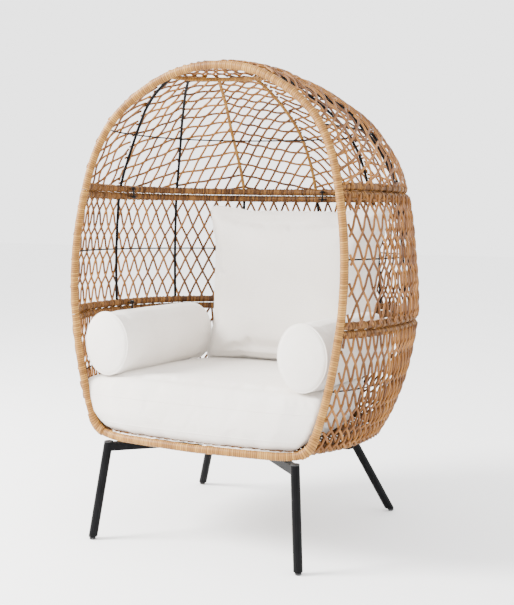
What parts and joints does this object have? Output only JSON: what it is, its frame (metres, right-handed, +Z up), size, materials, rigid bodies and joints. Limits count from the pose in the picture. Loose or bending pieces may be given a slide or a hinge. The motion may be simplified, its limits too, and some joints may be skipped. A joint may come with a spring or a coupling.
{
  "type": "egg chair",
  "caption": "Free-standing egg-shaped wicker lounge chair with a steel frame in stacked sections, splayed legs and loose cushions.",
  "frame": {"origin": "on the floor, under the middle of the chair's footprint", "axes": "+Z up, -Y out of the open front, +X towards the sitter's left hand (the viewer's right when facing the chair)"},
  "size_m": [1.068, 0.899, 1.4715],
  "materials": {
    "frame_steel": "black powder coat, satin",
    "hoop_cane": "light tan wound cane strip, satin",
    "rail_cane": "brown wound cane strip, satin",
    "wickerwork": "round orange-brown strands, satin",
    "woven_deck": "brown woven strip, matte",
    "stand_steel": "black powder coat, satin",
    "black_plastic": "moulded black, matte",
    "fasteners": "black oxide, satin",
    "cushion_fabric": "off-white woven outdoor cloth, matte"
  },
  "bodies": {
    "chair": {"dome_frame": "frame_steel", "dome_wire": "frame_steel", "middle_frame": "frame_steel", "middle_wire": "frame_steel", "seat_frame": "frame_steel", "seat_wire": "frame_steel", "dome_arch_wrap": "hoop_cane", "dome_crown_wrap": "hoop_cane", "middle_post_wrap_right": "hoop_cane", "middle_post_wrap_left": "hoop_cane", "seat_hoop_wrap": "hoop_cane", "dome_rail_wrap": "rail_cane", "middle_upper_rail_wrap": "rail_cane", "middle_lower_rail_wrap": "rail_cane", "seat_upper_rail_wrap": "rail_cane", "seat_base_rail_wrap": "rail_cane", "dome_weave": "wickerwork", "middle_weave": "wickerwork", "seat_weave": "wickerwork", "seat_deck": "woven_deck", "leg_front_left": "stand_steel", "leg_front_right": "stand_steel", "leg_rear_left": "stand_steel", "leg_rear_right": "stand_steel", "stand_hub_plate": "stand_steel", "cap_front_left": "black_plastic", "cap_front_right": "black_plastic", "cap_rear_left": "black_plastic", "cap_rear_right": "black_plastic", "glide_front_left": "black_plastic", "glide_front_right": "black_plastic", "glide_rear_left": "black_plastic", "glide_rear_right": "black_plastic", "upper_joint_bolt_1": "fasteners", "upper_joint_bolt_2": "fasteners", "upper_joint_bolt_3": "fasteners", "lower_joint_bolt_1": "fasteners", "lower_joint_bolt_2": "fasteners", "lower_joint_bolt_3": "fasteners", "hub_bolt_front_left": "fasteners", "hub_bolt_front_right": "fasteners", "hub_bolt_rear_left": "fasteners", "hub_bolt_rear_right": "fasteners", "seat_bolt_front_left": "fasteners", "seat_bolt_front_right": "fasteners", "seat_bolt_rear_left": "fasteners", "seat_bolt_rear_right": "fasteners"},
    "seat_cushion": {"seat_cushion": "cushion_fabric"},
    "back_cushion": {"back_cushion": "cushion_fabric"},
    "bolster_left": {"bolster_left": "cushion_fabric"},
    "bolster_right": {"bolster_right": "cushion_fabric"}
  },
  "joints": [
    {"name": "seat_cushion_out", "type": "slide", "parent": "chair", "child": "seat_cushion", "axis": [0, -0.9994, 0.035], "range_m": [0, 0.85]},
    {"name": "back_cushion_out", "type": "slide", "parent": "seat_cushion", "child": "back_cushion", "axis": [0, -0.9994, 0.035], "range_m": [0, 0.75]},
    {"name": "bolster_left_out", "type": "slide", "parent": "back_cushion", "child": "bolster_left", "axis": [0, -0.9994, 0.035], "range_m": [0, 0.5]},
    {"name": "bolster_right_out", "type": "slide", "parent": "back_cushion", "child": "bolster_right", "axis": [0, -0.9994, 0.035], "range_m": [0, 0.5]}
  ]
}
